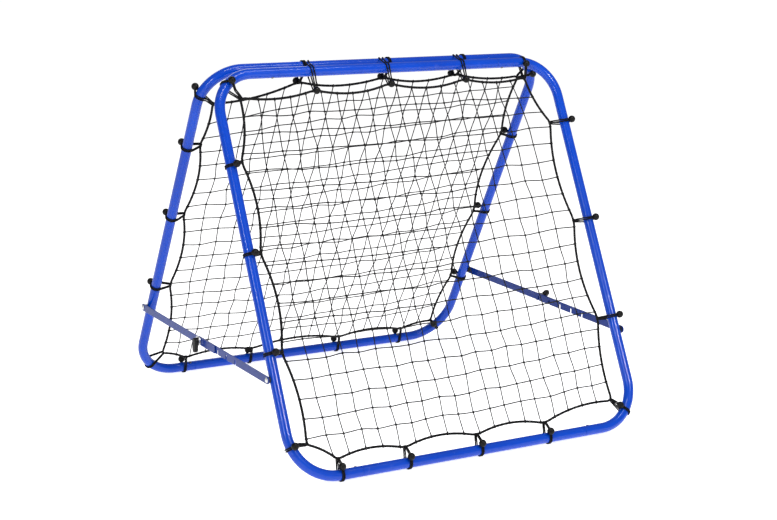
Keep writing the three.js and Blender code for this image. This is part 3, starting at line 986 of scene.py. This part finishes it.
def make_net(plane, line, holds, materials):
    rows = net_nodes(line, holds, NETS[plane.name]["end_cells"])
    columns = rows.swapaxes(0, 1)
    shape = Shape()
    for nodes in [*rows[1:-1], *columns[1:-1]]:
        points = through(nodes, TWINE_STEPS)
        radii = np.full((len(points), TWINE_SIDES), TWINE_RADIUS)
        radii *= 1 + TWINE_UNEVENNESS * rng.uniform(-1, 1, (len(points), 1))
        sweep(shape, plane.at(*points.T), plane.out, radii)
    crossings = rows[1:-1, 1:-1].reshape(-1, 3)
    add_knots(shape, plane, plane.at(*crossings.T))
    for twines in (rows, columns):
        tie(shape, plane, twines[0], twines[1])
        tie(shape, plane, twines[-1], twines[-2])
    obj = shape.piece(f"{plane.name}_net_knotted", materials["twine"])
    place(obj, plane.body, "net_cord", f"{plane.name}_net")


def tie(shape, plane, edge, beside):
    """Each twine's end goes round the border rope and ends in a knot beside it."""
    angles = TURN * np.arange(WRAP_STEPS) / WRAP_STEPS
    wrap = ROPE_RADIUS + TIE_RADIUS / 2
    radii = np.full((WRAP_STEPS, KNOT_SIDES), TIE_RADIUS)
    for i in range(1, CELLS):
        along = unit(plane.at(*edge[i + 1]) - plane.at(*edge[i - 1]))
        centre = plane.at(*edge[i])
        across = unit(np.cross(along, plane.out))
        ring = centre + wrap * (np.cos(angles)[:, None] * across + np.sin(angles)[:, None] * plane.out)
        sweep(shape, ring, along, radii, closed=True)
        towards = unit(plane.at(*beside[i]) - centre)
        add_knots(shape, plane, [centre + wrap * towards], TIE_KNOT_SCALE)


# ---- braces ----
def plate_piece(name, outlines, thickness, bevel, x, material):
    """A flat piece in the YZ plane with eased edges, from an outline and its holes, from x outwards."""
    curve = bpy.data.curves.new(name, "CURVE")
    curve.dimensions = "2D"
    curve.fill_mode = "BOTH"
    curve.extrude = thickness / 2 - bevel
    curve.bevel_depth = bevel
    curve.bevel_resolution = BEVEL_STEPS
    curve.offset = -bevel
    for outline in outlines:
        spline = curve.splines.new("POLY")
        spline.points.add(len(outline) - 1)
        for point, (y, z) in zip(spline.points, outline):
            point.co = (y, z, 0, 1)
        spline.use_cyclic_u = True
    holder = bpy.data.objects.new(name, curve)
    bpy.context.scene.collection.objects.link(holder)
    bpy.context.view_layer.update()
    mesh = bpy.data.meshes.new_from_object(holder.evaluated_get(bpy.context.evaluated_depsgraph_get()))
    bpy.data.objects.remove(holder)
    bpy.data.curves.remove(curve)
    flat = np.zeros(3 * len(mesh.vertices), np.float32)
    mesh.vertices.foreach_get("co", flat)
    flat = flat.reshape(-1, 3)
    middle = x + math.copysign(thickness / 2, x)
    world = np.stack([middle + flat[:, 2], flat[:, 0], flat[:, 1]], 1)
    mesh.vertices.foreach_set("co", world.astype(np.float32).ravel())
    mesh.update()
    mesh.materials.clear()
    mesh.materials.append(material)
    mesh.name = name
    for polygon in mesh.polygons:
        polygon.use_smooth = abs(polygon.normal.x) < FLAT_FACE
    mesh.set_sharp_from_angle(angle=math.radians(PLATE_SMOOTH_ANGLE))
    obj = bpy.data.objects.new(name, mesh)
    bpy.context.scene.collection.objects.link(obj)
    return obj


def arc(y, z, radius, start, end, steps):
    return [(y + radius * math.cos(a), z + radius * math.sin(a)) for a in np.linspace(start, end, steps)]


def bolt_hole(pivot):
    """A hole's outline, whose last point isn't its first one again."""
    return arc(pivot[1], pivot[2], BOLT_HOLE, 0, TURN * (1 - 1 / BOLT_HOLE_STEPS), BOLT_HOLE_STEPS)


def bar_corner(y, z, start):
    return arc(y, z, BAR_CORNER, start, start + QUARTER, BAR_CORNER_STEPS)


def make_bar(name, outlines, x, materials):
    paint = materials["bar_paint"]
    bar = plate_piece(f"{name}_brace_bar_painted", outlines, BAR_THICKNESS, BAR_BEVEL, x, paint)
    place(bar, f"{name}_bar", "brace_paint", f"{name}_brace_bar")


def make_notched_bar(side, name, pivot, clamp, materials):
    """From its round end on the front leg back to the clamp, with the notches in its lower edge."""
    height = pivot[2]
    low, high = height - BAR_HALF, height + BAR_HALF
    outline = arc(pivot[1], height, BAR_HALF, QUARTER, 3 * QUARTER, BAR_END_STEPS)
    for notch in reversed(range(NOTCHES)):
        y = clamp[1] - notch * NOTCH_PITCH
        outline.append((y - NOTCH_RADIUS, low))
        outline += arc(y, height, NOTCH_RADIUS, math.pi, 0, NOTCH_STEPS)
        outline.append((y + NOTCH_RADIUS, low))
    tip = clamp[1] + NOTCHED_TIP
    outline += bar_corner(tip - BAR_CORNER, low + BAR_CORNER, -QUARTER)
    outline += bar_corner(tip - BAR_CORNER, high - BAR_CORNER, 0)
    make_bar(f"{name}_notched", [outline, bolt_hole(pivot)], side * INNER_BAR_X, materials)


def make_plain_bar(side, name, pivot, clamp, materials):
    """From its round end on the back leg forward past the clamp."""
    height = pivot[2]
    low, high = height - BAR_HALF, height + BAR_HALF
    outline = arc(pivot[1], height, BAR_HALF, -QUARTER, QUARTER, BAR_END_STEPS)
    tip = clamp[1] - PLAIN_TIP
    outline += bar_corner(tip + BAR_CORNER, high - BAR_CORNER, QUARTER)
    outline += bar_corner(tip + BAR_CORNER, low + BAR_CORNER, math.pi)
    make_bar(f"{name}_plain", [outline, bolt_hole(pivot), bolt_hole(clamp)], side * OUTER_BAR_X, materials)


def make_brace(side, name, materials):
    front = np.array(joints[f"{name}_notched_bar_pivot"]["pos_m"])
    back = np.array(joints[f"{name}_plain_bar_pivot"]["pos_m"])
    clamp = np.array(joints[f"{name}_lever_turn"]["pos_m"])
    make_notched_bar(side, name, front, clamp, materials)
    make_plain_bar(side, name, back, clamp, materials)
    make_pivot(side, f"front_{name}", "front_frame", front, INNER_BAR_X, materials)
    make_pivot(side, f"back_{name}", "back_frame", back, OUTER_BAR_X, materials)
    make_lever(side, name, clamp, materials)


def make_pivot(side, label, body, pivot, bar_x, materials):
    """A pivot bolt with a domed head and washer outside the bar, and a nylon spacer between bar and leg."""
    origin = (0, pivot[1], pivot[2])
    washer = bar_x + BAR_THICKNESS + PART_GAP / 2
    head = washer + WASHER_THICKNESS
    dome_height = HEAD_HEIGHT - WASHER_THICKNESS
    dome_radius = HEAD_RADIUS - DOME_INSET
    profile = [
        (BOLT_START, 0),
        (BOLT_START, BOLT_RADIUS - BOLT_CHAMFER),
        (BOLT_START + BOLT_CHAMFER, BOLT_RADIUS),
        (washer, BOLT_RADIUS),
        (washer, HEAD_RADIUS - HEAD_EDGE),
        (washer + HEAD_EDGE, HEAD_RADIUS),
        (head - HEAD_EDGE, HEAD_RADIUS),
        (head, HEAD_RADIUS - HEAD_EDGE),
    ]
    for angle in np.linspace(0, QUARTER - DOME_TOP_ANGLE, DOME_STEPS):
        profile.append((head + dome_height * math.sin(angle), dome_radius * math.cos(angle)))
    profile.append((head + dome_height, 0))
    shape = Shape()
    lathe(shape, profile, origin, (side, 0, 0))
    place(shape.piece(f"{label}_pivot_bolt_plated", materials["steel"]), body, "zinc", f"{label}_pivot_bolt")

    start, end = SPACER_START, bar_x - PART_GAP
    bore = BOLT_RADIUS + SPACER_CLEARANCE
    profile = [
        (start, bore),
        (start, SPACER_RADIUS - SPACER_CHAMFER),
        (start + SPACER_CHAMFER, SPACER_RADIUS),
        (end - SPACER_CHAMFER, SPACER_RADIUS),
        (end, SPACER_RADIUS - SPACER_CHAMFER),
        (end, bore),
    ]
    shape = Shape()
    turned_ring(shape, profile, origin, (side, 0, 0))
    place(shape.piece(f"{label}_pivot_spacer", materials["spacer"]), body, "lever_plastic")


def make_lever(side, name, clamp, materials):
    """The clamp: a plated stud with a grooved boss, and a drop-shaped black lever on its end."""
    body = f"{name}_lever"
    node = f"{name}_clamp_lever"
    boss_start = OUTER_BAR_X + BAR_THICKNESS + PART_GAP
    boss_end = boss_start + BOSS_LENGTH
    groove_radius = BOSS_RADIUS - GROOVE_DEPTH
    profile = [
        (OUTER_BAR_X + STUD_INSET, 0),
        (OUTER_BAR_X + STUD_INSET, BOLT_RADIUS),
        (boss_start, BOLT_RADIUS),
        (boss_start, BOSS_RADIUS - BOSS_CHAMFER),
        (boss_start + BOSS_CHAMFER, BOSS_RADIUS),
        (boss_start + GROOVE_START, BOSS_RADIUS),
        (boss_start + GROOVE_FLOOR_START, groove_radius),
        (boss_start + GROOVE_FLOOR_END, groove_radius),
        (boss_start + GROOVE_END, BOSS_RADIUS),
        (boss_end - BOSS_END_INSET, BOSS_RADIUS),
        (boss_end - BOSS_END_INSET, 0),
    ]
    shape = Shape()
    lathe(shape, profile, (0, clamp[1], clamp[2]), (side, 0, 0))
    place(shape.piece(f"{name}_clamp_boss", materials["steel"]), body, "zinc")

    low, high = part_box(node)
    way = math.atan2((low.z + high.z) / 2 - clamp[2], (low.y + high.y) / 2 - clamp[1])
    tip = (LEVER_REACH * math.cos(way), LEVER_REACH * math.sin(way), LEVER_TIP)
    drop = resampled(belt([(0, 0, LEVER_HUB), tip]), LEVER_STEP, closed=True)
    outline = [(clamp[1] + y, clamp[2] + z) for y, z in drop]
    x = side * (boss_end - LEVER_OVERLAP)
    moulded = f"{name}_clamp_lever_moulded"
    lever = plate_piece(moulded, [outline], LEVER_THICKNESS, LEVER_BEVEL, x, materials["lever"])
    place(lever, body, "lever_plastic", node)


# ---- stage ----
def make_stage():
    bpy.ops.mesh.primitive_plane_add(size=FLOOR_SIZE, location=(0, 0, 0))
    floor = bpy.context.object
    floor.name = "floor"
    paint = Paint("floor_paper", roughness=0.9)
    clouds = paint.noise(scale=3, detail=3)
    paint.color(paint.ramp(clouds, (0.3, (0.93, 0.93, 0.93)), (0.7, (0.96, 0.96, 0.96))))
    paint.shader.inputs["Emission Color"].default_value = (1, 1, 1, 1)
    paint.shader.inputs["Emission Strength"].default_value = FLOOR_GLOW
    floor.data.materials.append(paint.material)


def area_light(name, at, size, power):
    data = bpy.data.lights.new(name, "AREA")
    data.shape = "RECTANGLE"
    data.size, data.size_y = size
    data.energy = power
    lamp = bpy.data.objects.new(name, data)
    bpy.context.scene.collection.objects.link(lamp)
    lamp.location = at
    lamp.rotation_mode = "QUATERNION"
    lamp.rotation_quaternion = (Vector(at) - Vector(LIGHT_TARGET)).to_track_quat("Z", "Y")


def make_lights():
    world = bpy.data.worlds.new("studio")
    bpy.context.scene.world = world
    world.use_nodes = True
    background = world.node_tree.nodes["Background"]
    background.inputs["Color"].default_value = (1.0, 1.0, 1.0, 1)
    background.inputs["Strength"].default_value = SKY_STRENGTH
    for name, values in LIGHTS.items():
        area_light(name, **values)


def make_camera():
    data = bpy.data.cameras.new("camera")
    data.lens = CAMERA_LENS
    data.sensor_width = SENSOR_WIDTH
    camera = bpy.data.objects.new("camera", data)
    bpy.context.scene.collection.objects.link(camera)
    flat = math.cos(CAMERA_ELEVATION)
    sideways = math.sin(CAMERA_AZIMUTH) * flat
    forwards = -math.cos(CAMERA_AZIMUTH) * flat
    back = Vector((sideways, forwards, math.sin(CAMERA_ELEVATION)))
    aim = Vector(joints["frame_fold"]["pos_m"]) + AIM_FROM_FOLD
    camera.location = aim + CAMERA_DISTANCE * back
    camera.rotation_mode = "QUATERNION"
    camera.rotation_quaternion = back.to_track_quat("Z", "Y") @ Quaternion((0, 0, 1), CAMERA_ROLL)
    bpy.context.scene.camera = camera
    bpy.context.scene.view_settings.view_transform = "Standard"


# ---- everything ----
materials = make_materials()
make_camera()
make_lights()
make_stage()
for plane in frame_planes():
    holds = holds_of(NETS[plane.name])
    line = rope_line(holds)
    for side in (-1, 1):
        make_side_tube(plane, side, materials)
    for z, label, inward in ((0, "top", -1), (-FRAME_SIZE, "bottom", 1)):
        make_crossbar(plane, z, label, materials)
        for side in (-1, 1):
            side_name = plane.world_name("left" if side < 0 else "right")
            make_button(plane, side * BUTTON_X, z, inward, f"{label}_{side_name}", materials)
    make_rope(plane, line, materials)
    for hold in holds:
        make_bungee(plane, hold, materials)
    make_net(plane, line, holds, materials)
for side, name in ((-1, "left"), (1, "right")):
    make_brace(side, name, materials)
